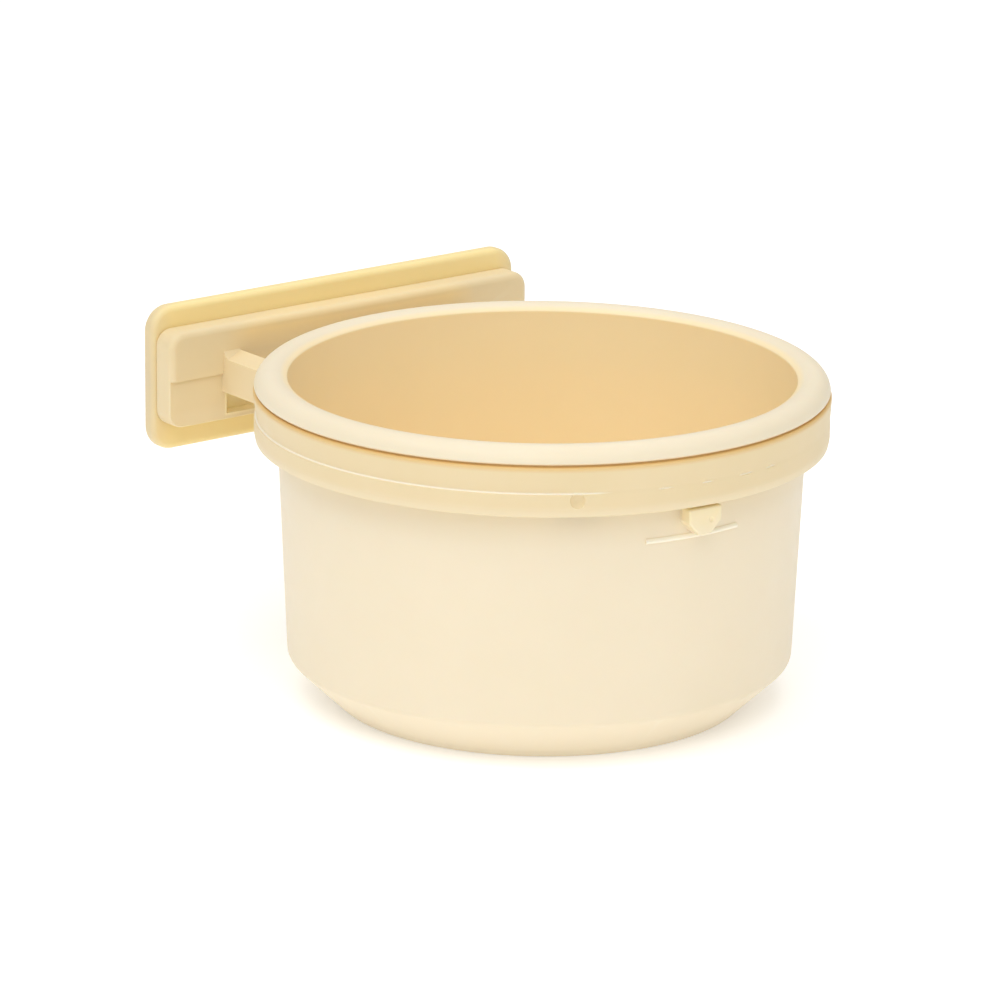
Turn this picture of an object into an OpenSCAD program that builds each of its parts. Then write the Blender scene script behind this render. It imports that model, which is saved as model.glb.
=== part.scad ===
// Seed cup for a pet's cage: a round bowl that hangs by its rolled rim in a ring bracket.
// Two lugs on the bowl drop through notches in the ring and lock under it with a short turn.
// The bracket's inner plate and a loose outer plate clamp on the cage wires by a bolt and wing nut.
// The origin is on the bowl's axis at the height of the table, and +Y runs to the clamp plates.

/* [Bowl] */
// Outer radius of the rolled rim
rim_r = 50; // [42:1:65]
// Reach of the rim beyond the outside of the wall
rim_overhang = 3.7; // [3.4:0.1:4.6]
// Height of the rim's underside above the table
rim_under_h = 55.7; // [42:0.1:80]
// Radius of the outer half of the rim's rounded top
rim_round = 2.9; // [2.6:0.1:3.4]
// Radius of the inner half of the rim's rounded top
rim_inner_round = 4.7; // [4.2:0.1:6]
// Radius of the rim's turned-under outer edge
rim_lip_r = 0.4; // [0.3:0.1:0.8]
// Thickness of the wall
wall_t = 2.1; // [1.4:0.1:2.8]
// How much the wall's radius shrinks from the rim down to the foot
wall_taper = 2.1; // [0.6:0.1:4]
// Height of the sloping foot below the wall
foot_h = 8.1; // [6:0.1:11]
// How far the foot slopes inwards from the wall to the table
foot_reach = 8.5; // [6:0.1:11]
// Radius of the rounding between the wall and the foot
foot_round_r = 1.8; // [1:0.1:3]
// Radius of the rounding between the foot and the base
base_round_r = 1; // [0.5:0.1:2]
// Radius of the roundings inside the bowl
inner_round_r = 3; // [1.5:0.1:4]
// Thickness of the floor
floor_t = 2.4; // [1.8:0.1:4]
// Depth of the shallow recess under the base
base_recess = 0.8; // [0.4:0.1:1.2]
// Width of the flat ring that the bowl stands on
base_ring_w = 3.6; // [2:0.1:6]

/* [Lugs and ribs] */
// Width of each locking lug
lug_w = 6.7; // [5:0.1:8]
// Height of each lug
lug_h = 4.9; // [3.6:0.1:6]
// Height of the upright sides of a lug, above its tapered end
lug_side_h = 2.6; // [1.2:0.1:3.2]
// Width of the tip at a lug's lower end
lug_tip_w = 2.2; // [1.4:0.1:3.4]
// Reach of a lug beyond the top of the wall
lug_reach = 2.2; // [1.6:0.1:2.4]
// Gap between the ring's underside and the top of a lug
lug_drop = 0.8; // [0.5:0.1:2]
// Turn of the front lug from the front centre, in degrees
lug_turn = -3.2; // [-5:0.1:3]
// Half of the angle that a guide rib spans, in degrees
rib_half_angle = 11.8; // [8:0.2:16]
// Turn of each guide rib from its lug, in degrees
rib_turn = -0.4; // [-2:0.1:2]
// Thickness of a guide rib
rib_h = 0.8; // [0.5:0.1:1.2]
// Reach of a guide rib from the wall
rib_reach = 0.45; // [0.3:0.05:0.6]
// How far a guide rib laps over the tip of its lug
rib_lap = 0.1; // [0.1:0.1:0.5]

/* [Ring] */
// Height of the ring
ring_h = 8.7; // [7:0.1:12]
// How far the ring stands out past the bowl's rim
ring_proud = 0.2; // [0:0.1:0.8]
// Gap between the bowl's wall and the ring
ring_play = 0.4; // [0.25:0.05:0.6]
// Gap between the rim's underside and the ring's top
seat_gap = 0.3; // [0.1:0.05:0.6]
// Height of the ring's lower band
band_h = 4.1; // [3:0.1:5]
// Depth of the step between the ring's two bands
band_step = 0.4; // [0.3:0.1:0.6]
// How far the lower band stands in from the ring's upper edge
band_set_in = 0.2; // [0:0.1:0.5]
// Height of the steep bevel round the ring's lower edge
bevel_h = 1.3; // [0.8:0.1:1.8]
// Depth of that bevel
bevel_in = 0.25; // [0.15:0.05:0.4]
// Size of the rounding round the ring's upper edge
ring_round = 0.6; // [0.3:0.1:1]
// Turn of the front notch from the front centre, in degrees
notch_turn = -30.2; // [-36:0.1:-22]
// Gap on each side of a lug in its notch, and between a lug and its stops
lug_play = 0.3; // [0.2:0.05:0.5]
// Height of the two stops under the ring
stop_h = 2.4; // [1.8:0.1:3.4]
// Angle that each stop spans, in degrees
stop_angle = 2.5; // [2:0.5:4]

/* [Arms] */
// Distance from the middle of the bracket to the middle of each arm
arm_x = 26.7; // [22:0.1:32]
// Width of each arm
arm_w = 3.6; // [2.4:0.1:4.2]
// Height of each arm at its outer side
arm_h = 6.2; // [4:0.1:6.6]
// Rise of an arm's sloping top from its outer to its inner side
arm_rise = 1.1; // [0.2:0.1:1.4]
// Size of the gusset where an arm meets the inner plate
gusset = 1.3; // [0.8:0.1:2]
// Gap between the ring and the inner plate
stand_off = 5.3; // [4.6:0.1:10]

/* [Clamp plates] */
// Width of the inner plate
plate_w = 79.6; // [68:0.2:100]
// Height of the inner plate
inner_h = 17.5; // [16:0.1:24]
// Thickness of the inner plate
inner_t = 5; // [4.6:0.1:7]
// Width of the outer plate
outer_w = 80.8; // [70:0.2:104]
// Height of the outer plate
outer_h = 26.3; // [22:0.1:34]
// Thickness of the outer plate
outer_t = 2.8; // [2.4:0.1:4]
// Drop of the inner plate's middle below the rim's underside
plate_drop = 5.6; // [5:0.1:7]
// Drop of the outer plate's middle below the inner plate's middle
outer_drop = 0.7; // [0:0.1:1.5]
// Radius of the inner plate's corners
corner_r = 3; // [2:0.1:4]
// Radius of the outer plate's corners
outer_corner_r = 5; // [2.4:0.1:6]
// Radius of the rounding along the plates' edges
edge_r = 0.7; // [0.4:0.1:1]
// Setback of the inner plate's lower half
half_step = 0.6; // [0.4:0.1:0.9]
// Width of the bolt slot in the inner plate
slot_w = 54.9; // [46:0.1:60]
// Depth of the bolt slot
slot_depth = 3.5; // [3:0.1:3.6]
// Thickness of the inner plate below the bolt slot
slot_sill = 1.1; // [0.8:0.1:1.6]
// Depth of the hollows in the back of the outer plate
core_depth = 1.2; // [0.8:0.1:1.4]
// Thickness of the lip and ribs on the back of the outer plate
back_rib_t = 1.6; // [1:0.1:2.4]
// Number of ribs on each side of the outer plate's boss
back_ribs = 3; // [2:1:4]
// Radius of the boss round the outer plate's hole
boss_r = 7.5; // [6:0.1:9]
// Height of the boss above the plate's back
boss_h = 1; // [0.6:0.1:2]

/* [Bolt and nut] */
// Radius of the bolt's shank
bolt_r = 2.5; // [2:0.5:3]
// Width of the hex head and the hex nut across their flats
hex_w = 8; // [7:0.1:8.4]
// Height of the bolt's head
head_h = 3.5; // [2.8:0.1:3.6]
// Length of the bolt's shank
bolt_l = 25; // [23:1:35]
// Radius of the washer
washer_r = 5; // [4.6:0.1:6]
// Thickness of the washer
washer_t = 1; // [0.8:0.1:1.6]
// Thickness of the hex nut inside the wing nut
nut_t = 4; // [3:0.1:5]
// Radius of the wing nut's hub
hub_r = 6.4; // [6:0.1:8]
// Height of the wing nut's hub
hub_h = 8; // [6.5:0.1:11]
// Distance from the wing nut's axis to the end of a wing
wing_reach = 15; // [12:0.1:20]
// Height of the wings above the hub's foot
wing_h = 13; // [10:0.1:17]
// Thickness of the wings
wing_t = 3; // [2:0.1:4]
// Radius of the round end of each wing
wing_tip_r = 4; // [2.4:0.1:4.8]

/* [Hidden] */

cream = "#f5e6c4";
plate_cream = "#ead09a";
steel = "#b9bcc0";

// Facets round the large and the small round shapes, and on the children of a hull
fine = 160;
small = 64;
coarse = 32;

// Steps along the small rounds and along each half of the rim's top in the bowl's section
round_steps = 6;
rim_steps = 12;

// Clearances and the overrun of all cuts
over = 0.5;
thread_play = 0.05;
hole_play = 0.3;
hex_play = 0.1;

// The rim's outer half starts tangent to the round of its edge, and its inner half at the crest
lip_centre = [rim_r - rim_lip_r, rim_under_h + rim_lip_r];
lip_way = asin(rim_lip_r / (rim_round - rim_lip_r));
rim_centre = lip_centre - (rim_round - rim_lip_r) * [cos(lip_way), sin(lip_way)];
inner_centre = rim_centre + [0, rim_round - rim_inner_round];

// The wall leans in to the foot, which slopes in to the base
wall_top_r = rim_r - rim_overhang;
wall_low_r = wall_top_r - wall_taper;
mouth_r = wall_top_r - wall_t;
mouth_way = acos((mouth_r - inner_centre.x) / rim_inner_round);
base_r = wall_low_r - foot_reach;
wall_way = atan2(rim_under_h - foot_h, wall_taper);
foot_slope = atan2(foot_h, foot_reach);
foot_way = 180 + foot_slope;

// The inner corners stand a wall's thickness in from the foot's corner, and on the floor
inner_corner = round_centre([wall_low_r, foot_h], wall_way, foot_way, wall_t);
inner_wall_way = atan2(rim_under_h - inner_corner.y, mouth_r - inner_corner.x);
inner_floor_r = inner_corner.x - (inner_corner.y - floor_t) / tan(foot_slope);

// The ring hangs just below the rim and clears the wall
ring_in_r = wall_top_r + ring_play;
ring_out_r = rim_r + ring_proud;
band_out_r = ring_out_r - band_set_in;
ring_top_h = rim_under_h - seat_gap;
ring_low_h = ring_top_h - ring_h;
band_top_h = ring_low_h + band_h;
ring_mid_r = (ring_in_r + ring_out_r) / 2;
band_edge = band_step / 2;

// The lugs turn just below the ring
lug_out_r = wall_top_r + lug_reach;
lug_top_h = ring_low_h - lug_drop;
lug_low_h = lug_top_h - lug_h;
rib_top_h = lug_low_h + rib_lap;
notch_r = lug_out_r + lug_play;
lug_flank_angle = asin((lug_w / 2 + lug_play) / ring_in_r);
stop_in_r = ring_in_r + lug_play;

// The plates stand behind the ring
plate_mid_h = rim_under_h - plate_drop;
outer_mid_h = plate_mid_h - outer_drop;
inner_front_y = ring_out_r + stand_off;
inner_back_y = inner_front_y + inner_t;
slot_floor_y = inner_front_y + slot_depth;
slot_h = hex_w + 2 * hex_play;
slot_low_h = plate_mid_h - inner_h / 2 + slot_sill;
arm_start_y = sqrt(pow(ring_mid_r, 2) - pow(arm_x, 2));

// The bolt runs through the middle of the slot
bolt_h = slot_low_h + slot_h / 2;
outer_back_y = inner_back_y + outer_t;
washer_y = outer_back_y + boss_h;
nut_y = washer_y + washer_t;
wing_lean = 40;

// Outer radius of the bowl's wall at a height
function wall_r(h) = wall_low_r + wall_taper * (h - foot_h) / (rim_under_h - foot_h);

// Centre of a round in a corner whose two sides leave it at the angles a and b
function round_centre(corner, a, b, r) = corner + r / sin((b - a) / 2) * [cos((a + b) / 2), sin((a + b) / 2)];

// Points of an arc between two angles
function arc(centre, r, from, to, steps) = [
    for (i = [0 : steps])
        centre + r * [cos(from + (to - from) * i / steps), sin(from + (to - from) * i / steps)]
];

// A cylinder along +Y, starting at a point on the bolt's axis
module along_bolt(y, r, l, facets) {
    translate([0, y, bolt_h])
        rotate([-90, 0, 0])
            cylinder(r = r, h = l, $fn = facets);
}

// A six-sided prism along +Y with flats at its top and bottom
module hex_along_bolt(y, across, l) {
    translate([0, y, bolt_h])
        rotate([-90, 0, 0])
            cylinder(r = across / sqrt(3), h = l, $fn = 6);
}

// A flat slab with rounded corners and edges, its front at y and its middle at a height
module slab(y, middle, w, h, t, r) {
    corner_x = w / 2 - r;
    corner_z = h / 2 - r;
    translate([0, y + t / 2, middle])
        hull()
            for (sx = [-1, 1], sz = [-1, 1], turn = [0 : 30 : 90])
                translate([sx * corner_x, 0, sz * corner_z])
                    rotate([90, 0, 0])
                        cylinder(
                            r = r - edge_r * (1 - cos(turn)),
                            h = t - 2 * edge_r * (1 - sin(turn)),
                            center = true,
                            $fn = coarse
                        );
}

// The bowl's section: the recessed base, the sloping foot, the wall, the rim and the inside
module bowl_section() {
    base_round = round_centre([base_r, 0], foot_slope, 180, base_round_r);
    foot_round = round_centre([wall_low_r, foot_h], wall_way, foot_way, foot_round_r);
    inner_round = round_centre(inner_corner, inner_wall_way, foot_way, inner_round_r);
    floor_round = round_centre([inner_floor_r, floor_t], foot_slope, 180, inner_round_r);
    polygon(concat(
        [[0, base_recess], [base_r - base_ring_w, base_recess], [base_r - base_ring_w, 0]],
        arc(base_round, base_round_r, -90, foot_slope - 90, round_steps),
        arc(foot_round, foot_round_r, foot_slope - 90, wall_way - 90, round_steps),
        [[wall_top_r, rim_under_h]],
        arc(lip_centre, rim_lip_r, -90, lip_way, round_steps),
        arc(rim_centre, rim_round, lip_way, 90, rim_steps),
        arc(inner_centre, rim_inner_round, 90, mouth_way, rim_steps),
        [[mouth_r, rim_under_h]],
        arc(inner_round, inner_round_r, inner_wall_way - 90, foot_slope - 90, round_steps),
        arc(floor_round, inner_round_r, foot_slope - 90, -90, round_steps),
        [[0, floor_t]]
    ));
}

// A locking lug that points along +X, with a tapered lower end
module lug() {
    root_r = wall_r(lug_top_h) - wall_t / 2;
    translate([root_r, 0, lug_top_h])
        rotate([90, 0, 90])
            linear_extrude(lug_out_r - root_r)
                polygon([
                    [-lug_w / 2, 0],
                    [-lug_w / 2, -lug_side_h],
                    [-lug_tip_w / 2, -lug_h],
                    [lug_tip_w / 2, -lug_h],
                    [lug_w / 2, -lug_side_h],
                    [lug_w / 2, 0]
                ]);
}

// A thin guide rib on the wall, just below a lug
module guide_rib() {
    root_r = wall_r(rib_top_h) - wall_t / 2;
    rotate([0, 0, rib_turn - rib_half_angle])
        rotate_extrude(angle = 2 * rib_half_angle, $fn = fine)
            translate([root_r, rib_top_h - rib_h])
                square([wall_t / 2 + rib_reach, rib_h]);
}

module bowl() {
    color(cream) {
        rotate_extrude($fn = fine)
            bowl_section();
        for (side = [-90, 90])
            rotate([0, 0, side + lug_turn]) {
                lug();
                guide_rib();
            }
    }
}

// The ring's section: a lower band, a step, and an upper band that leans outwards to a rounded edge
module ring_section() {
    round_share = 0.3;
    polygon([
        [ring_in_r, ring_low_h],
        [band_out_r - bevel_in, ring_low_h],
        [band_out_r, ring_low_h + bevel_h],
        [band_out_r, band_top_h - band_edge],
        [band_out_r - band_edge, band_top_h],
        [band_out_r - band_step, band_top_h],
        [ring_out_r, ring_top_h - ring_round],
        [ring_out_r - ring_round * round_share, ring_top_h - ring_round * round_share],
        [ring_out_r - ring_round, ring_top_h],
        [ring_in_r, ring_top_h]
    ]);
}

// The way in the ring's inner face that a lug drops through
module notch() {
    translate([ring_in_r - over, -lug_w / 2 - lug_play, ring_low_h - over])
        cube([notch_r - ring_in_r + over, lug_w + 2 * lug_play, ring_h + 2 * over]);
}

// A stop under the ring, counted from the middle of the lug that meets it
module stop(side) {
    start = side > 0 ? lug_flank_angle : -lug_flank_angle - stop_angle;
    rotate([0, 0, start])
        rotate_extrude(angle = stop_angle, $fn = fine)
            translate([stop_in_r, ring_low_h - stop_h])
                square([band_out_r - 2 * bevel_in - stop_in_r, stop_h + bevel_in]);
}

// An arm from the ring to the floor of the bolt slot, with its higher side towards -X
module arm() {
    arm_top_h = ring_low_h + arm_h;
    translate([0, slot_floor_y, 0])
        rotate([90, 0, 0])
            linear_extrude(slot_floor_y - arm_start_y)
                polygon([
                    [-arm_w / 2, ring_low_h],
                    [arm_w / 2, ring_low_h],
                    [arm_w / 2, arm_top_h],
                    [-arm_w / 2, arm_top_h + arm_rise]
                ]);
    translate([-arm_w / 2, 0, 0])
        rotate([90, 0, 90])
            linear_extrude(arm_w)
                polygon([
                    [inner_front_y - gusset, arm_top_h],
                    [inner_front_y - gusset, ring_low_h + gusset],
                    [slot_floor_y - gusset, ring_low_h + gusset],
                    [slot_floor_y - gusset, arm_top_h + gusset],
                    [inner_front_y, arm_top_h + gusset]
                ]);
}

// The inner plate: a proud upper half, a lower half set back, and the slot for the bolt's head
module inner_plate() {
    difference() {
        slab(inner_front_y, plate_mid_h, plate_w, inner_h, inner_t, corner_r);
        translate([-plate_w / 2 - over, inner_front_y - over, plate_mid_h - inner_h / 2 - over])
            cube([plate_w + 2 * over, half_step + over, inner_h / 2 + over]);
        translate([-slot_w / 2, inner_front_y - over, slot_low_h])
            cube([slot_w, slot_depth + over, slot_h]);
    }
}

module ring_bracket() {
    color(cream)
        difference() {
            union() {
                rotate_extrude($fn = fine)
                    ring_section();
                rotate([0, 0, 90 + lug_turn])
                    stop(1);
                rotate([0, 0, 90 + notch_turn])
                    stop(-1);
                inner_plate();
                translate([arm_x, 0, 0])
                    arm();
                mirror([1, 0, 0])
                    translate([arm_x, 0, 0])
                        arm();
            }
            for (side = [-90, 90])
                rotate([0, 0, side + notch_turn])
                    notch();
            along_bolt(slot_floor_y - over, bolt_r + hole_play, inner_back_y - slot_floor_y + 2 * over, small);
        }
}

// The hollows between the lip, the ribs and the boss on the outer plate's back
module back_cores() {
    bay_pitch = (outer_w - back_rib_t) / (2 * back_ribs + 2);
    bay_w = bay_pitch - back_rib_t;
    for (bay = [0 : 2 * back_ribs + 1])
        translate([
            -outer_w / 2 + back_rib_t + bay * bay_pitch,
            outer_back_y - core_depth,
            outer_mid_h - outer_h / 2 + back_rib_t
        ])
            cube([bay_w, core_depth + over, outer_h - 2 * back_rib_t]);
}

module clamp_plate() {
    color(plate_cream)
        difference() {
            union() {
                difference() {
                    slab(inner_back_y, outer_mid_h, outer_w, outer_h, outer_t, outer_corner_r);
                    intersection() {
                        back_cores();
                        slab(
                            outer_back_y - core_depth,
                            outer_mid_h,
                            outer_w - back_rib_t,
                            outer_h - back_rib_t,
                            2 * core_depth,
                            outer_corner_r
                        );
                    }
                }
                along_bolt(outer_back_y - core_depth, boss_r, core_depth + boss_h, small);
            }
            along_bolt(inner_back_y - over, bolt_r + hole_play, outer_t + boss_h + 2 * over, small);
        }
}

module clamp_bolt() {
    color(steel) {
        hex_along_bolt(slot_floor_y - head_h, hex_w, head_h);
        along_bolt(slot_floor_y, bolt_r, bolt_l, small);
    }
}

module washer() {
    color(steel)
        difference() {
            along_bolt(washer_y, washer_r, washer_t, small);
            along_bolt(washer_y - over, bolt_r + hole_play, washer_t + 2 * over, small);
        }
}

module nut_insert() {
    color(steel)
        difference() {
            hex_along_bolt(nut_y, hex_w, nut_t);
            along_bolt(nut_y - over, bolt_r + thread_play, nut_t + 2 * over, small);
        }
}

// One wing, a flat blade that leans out from the hub to a round end
module wing() {
    tip_x = wing_reach - wing_tip_r;
    tip_y = wing_h - wing_tip_r;
    translate([0, nut_y, bolt_h - wing_t / 2])
        linear_extrude(wing_t) {
            polygon([
                [bolt_r + hole_play, wing_t / 2],
                [hub_r, wing_t / 2],
                [tip_x + wing_tip_r * cos(wing_lean), tip_y - wing_tip_r * sin(wing_lean)],
                [tip_x - wing_tip_r * cos(wing_lean), tip_y + wing_tip_r * sin(wing_lean)],
                [hub_r - wing_t / 2, hub_h - wing_t / 4],
                [bolt_r + hole_play, hub_h - wing_t / 4]
            ]);
            translate([tip_x, tip_y])
                circle(r = wing_tip_r, $fn = small);
        }
}

module wing_nut() {
    color(cream)
        difference() {
            union() {
                translate([0, nut_y, bolt_h])
                    rotate([-90, 0, 0])
                        rotate_extrude($fn = small)
                            polygon([
                                [0, 0],
                                [hub_r, 0],
                                [hub_r, wing_t / 2],
                                [hub_r - wing_t / 2, hub_h - wing_t / 4],
                                [hub_r - wing_t * 3 / 4, hub_h],
                                [0, hub_h]
                            ]);
                wing();
                mirror([1, 0, 0])
                    wing();
            }
            along_bolt(nut_y - over, bolt_r + hole_play, wing_h + 2 * over, small);
            hex_along_bolt(nut_y - over, hex_w, nut_t + over);
        }
}

bowl();
ring_bracket();
clamp_plate();
clamp_bolt();
washer();
wing_nut();
nut_insert();
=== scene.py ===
import math

import bmesh
import bpy
from mathutils import Matrix, Vector


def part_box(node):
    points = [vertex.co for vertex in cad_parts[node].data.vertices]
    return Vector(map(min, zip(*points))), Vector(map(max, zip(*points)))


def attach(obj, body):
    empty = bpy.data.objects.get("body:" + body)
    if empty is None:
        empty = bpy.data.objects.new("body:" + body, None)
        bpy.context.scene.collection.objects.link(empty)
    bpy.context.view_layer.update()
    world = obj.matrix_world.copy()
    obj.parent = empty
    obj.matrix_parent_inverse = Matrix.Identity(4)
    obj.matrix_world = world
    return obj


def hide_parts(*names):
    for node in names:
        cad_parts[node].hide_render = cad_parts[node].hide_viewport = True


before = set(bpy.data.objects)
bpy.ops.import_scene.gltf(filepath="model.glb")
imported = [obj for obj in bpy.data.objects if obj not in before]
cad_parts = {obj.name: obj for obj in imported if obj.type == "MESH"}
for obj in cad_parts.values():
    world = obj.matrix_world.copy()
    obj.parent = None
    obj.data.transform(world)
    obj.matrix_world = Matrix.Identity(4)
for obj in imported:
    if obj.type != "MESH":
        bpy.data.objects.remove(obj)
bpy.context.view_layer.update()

# The unit, and the corners of the solids' boxes, in metres
MM = 0.001
bowl_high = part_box("bowl")[1]
bracket_low, bracket_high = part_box("ring_bracket")
plate_low, plate_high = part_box("clamp_plate")
bolt_low, bolt_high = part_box("clamp_bolt")
washer_low, washer_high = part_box("washer")
nut_low, nut_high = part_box("wing_nut")
insert_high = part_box("nut_insert")[1]

# Steps round a turned piece and round the ring
TURNS = 288
RING_TURNS = 720

# How far a cutter overshoots, how deep joined solids are sunk, a hair's breadth, and the reach of a merge
CUT = 0.6 * MM
SUNK = 0.3 * MM
HAIR = SUNK / 10
MERGE = 0.001 * MM

# The angle past which an edge stays sharp
SHARP = math.radians(32.0)

# Bowl
WALL = 2.1 * MM
RIM_ROUND = 2.9 * MM
RIM_INNER_ROUND = 4.7 * MM
RIM_LIP = 0.4 * MM
MOUTH_ROUND = 0.4 * MM
RIM_REACH = 3.7 * MM
RIM_R = bowl_high.x
RIM_UNDER = bowl_high.z - RIM_ROUND
TAPER = 2.1 * MM
WALL_TOP_R = RIM_R - RIM_REACH
WALL_LOW_R = WALL_TOP_R - TAPER
WALL_SHARES = (0.35, 0.55, 0.75, 0.93)
MOUTH_R = WALL_TOP_R - WALL
FOOT_H = 8.1 * MM
FOOT_REACH = 8.5 * MM
FOOT_ROUND = 1.8 * MM
BASE_ROUND = 1.0 * MM
BASE_R = WALL_LOW_R - FOOT_REACH
BASE_RING_W = 3.6 * MM
INNER_ROUND = 3.0 * MM
FLOOR = 2.4 * MM
RECESS = 0.8 * MM
BOWL_EDGE = 0.25 * MM

# Ring
RING_H = 8.7 * MM
BAND_H = 4.1 * MM
RING_PLAY = 0.4 * MM
RING_LEAN = 0.2 * MM
RIM_GAP = 0.3 * MM
RING_IN_R = WALL_TOP_R + RING_PLAY
RING_OUT_R = RIM_R + RING_LEAN
BAND_OUT_R = RING_OUT_R - RING_LEAN
RING_TOP = RIM_UNDER - RIM_GAP
RING_LOW = RING_TOP - RING_H
BAND_TOP = RING_LOW + BAND_H
BAND_STEP = 0.4 * MM
LEDGE_H = 0.25 * MM
BEVEL_H = 1.3 * MM
BEVEL_IN = 0.25 * MM
RING_ROUND = 0.6 * MM
RING_EDGE = 0.12 * MM
RING_MID_R = (RING_IN_R + RING_OUT_R) / 2
SEAT_INSET = 0.7 * MM
SEAT_R = RING_OUT_R - SEAT_INSET

# Lugs, guide ribs, notches and stops
LUG_W = 6.7 * MM
LUG_H = 4.9 * MM
LUG_SIDE = 2.6 * MM
LUG_TIP_W = 2.2 * MM
LUG_REACH = 2.2 * MM
LUG_DROP = 0.8 * MM
LUG_EDGE = 0.38 * MM
LUG_OUT_R = WALL_TOP_R + LUG_REACH
LUG_TOP = RING_LOW - LUG_DROP
LUG_TURN = math.radians(-3.2)
RIB_HALF = math.radians(11.8)
RIB_TURN = math.radians(-0.4)
RIB_H = 0.8 * MM
RIB_REACH = 0.45 * MM
RIB_DROP = 0.2 * MM
RIB_TOP = LUG_TOP - LUG_H - RIB_DROP
PIN_TURN = math.radians(1.3)
PIN_DROP = 2.3 * MM
PIN_OUT = 0.2 * MM
PIN_SIZES = (0.34 * MM, 0.65 * MM, 0.65 * MM)
NOTCH_TURN = math.radians(-30.2)
LUG_PLAY = 0.3 * MM
NOTCH_R = LUG_OUT_R + LUG_PLAY
FLANK = math.asin((LUG_W / 2 + LUG_PLAY) / RING_IN_R)
STOP_H = 2.4 * MM
STOP_SPAN = math.radians(2.5)
FRONT = -math.pi / 2
REAR = math.pi / 2

# Where the ring's step fades out and comes back, in degrees, and the share of its depth that is filled
FADE_OUT = (-121.0, -113.0)
FADE_BACK = (-20.0, 20.0)
FILLED_SHARE = 0.85

# Short ledges left where the step has faded: the middle and half the length of each, in degrees
LEDGES = ((-103.4, 2.1), (-94.2, 1.7), (-84.5, 2.4), (-77.3, 1.8))

# Mark of the mould's gate on the ring
GATE_TURN = math.radians(-121.1)
GATE_RISE = 2.9 * MM
GATE_OUT = 0.4 * MM
GATE_SIZES = (1.2 * MM, 1.4 * MM, 1.5 * MM)

# Arms and plates
ARM_X = 26.7 * MM
ARM_W = 3.6 * MM
ARM_H = 6.2 * MM
ARM_RISE = 1.1 * MM
ARM_EDGE = 0.2 * MM
GUSSET = 1.3 * MM
INNER_W = 79.6 * MM
OUTER_W = plate_high.x - plate_low.x
PLATE_MID = (bracket_low.z + bracket_high.z) / 2
OUTER_MID = (plate_low.z + plate_high.z) / 2
INNER_H = bracket_high.z - bracket_low.z
PLATE_GAP = 5.3 * MM
INNER_FRONT = RING_OUT_R + PLATE_GAP
INNER_BACK = bracket_high.y
OUTER_H = plate_high.z - plate_low.z
OUTER_T = 2.8 * MM
OUTER_BACK = INNER_BACK + OUTER_T
CORNER_R = 3.0 * MM
OUTER_CORNER_R = 4.5 * MM
EDGE_R = 0.7 * MM
INNER_SOFT = 1.3 * MM
OUTER_SOFT = 1.1 * MM
HALF_STEP = 0.6 * MM
STEP_EDGE = 0.16 * MM
CORE = 1.2 * MM
CORE_CORNER_R = 1.2 * MM
CORE_EDGE = 0.15 * MM
BACK_RIB = 1.6 * MM
BACK_RIBS = 3
BOSS_R = 7.5 * MM

# Bolt, and the slot and holes that it runs in
BOLT_R = 2.5 * MM
BOLT_PLAY = 0.3 * MM
HOLE_R = BOLT_R + BOLT_PLAY
BOLT_H = (bolt_low.z + bolt_high.z) / 2
PITCH = 0.8 * MM
THREAD_DEPTH = 0.36 * MM
NECK = 2.0 * MM
HEX_W = 8.0 * MM
HEX_PLAY = 0.2 * MM
HEX_CHAMFER = 0.2 * MM
HEX_CHAMFER_SHARE = 0.6
SLOT_DEPTH = 3.5 * MM
SLOT_FLOOR = INNER_FRONT + SLOT_DEPTH
SLOT_W = 54.9 * MM
SLOT_SILL = 1.1 * MM
SLOT_H = HEX_W + HEX_PLAY

# Washer and wing nut, whose wings lean out by an angle in degrees
WASHER_EDGE = 0.15 * MM
HUB_H = 8.0 * MM
HUB_R = 6.4 * MM
HUB_SOFT = 0.5 * MM
WING_T = 3.0 * MM
WING_TIP_R = 4.0 * MM
WING_LEAN = 40.0
WING_EDGE = 0.7 * MM


def arc(centre, radius, start, end, steps):
    """Points on a round stretch of a profile, angles in degrees."""
    return [
        (
            centre[0] + radius * math.cos(math.radians(start + (end - start) * i / steps)),
            centre[1] + radius * math.sin(math.radians(start + (end - start) * i / steps)),
        )
        for i in range(steps + 1)
    ]


def wall_r(height):
    """Outer radius of the bowl's wall at a height."""
    share = (height - FOOT_H) / (RIM_UNDER - FOOT_H)
    return WALL_LOW_R + (WALL_TOP_R - WALL_LOW_R) * share


def corner_round(corner, first, second, radius):
    """The centre of a round in a corner whose two sides leave it at two angles in degrees."""
    middle, half = math.radians((first + second) / 2), math.radians((second - first) / 2)
    reach = radius / math.sin(half)
    return corner[0] + reach * math.cos(middle), corner[1] + reach * math.sin(middle)


def mesh_object(name, bm):
    """An object in the scene from a bmesh, with its normals made to point out."""
    bmesh.ops.remove_doubles(bm, verts=bm.verts, dist=MERGE)
    bmesh.ops.recalc_face_normals(bm, faces=bm.faces)
    mesh = bpy.data.meshes.new(name)
    bm.to_mesh(mesh)
    bm.free()
    piece = bpy.data.objects.new(name, mesh)
    bpy.context.scene.collection.objects.link(piece)
    return piece


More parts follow.
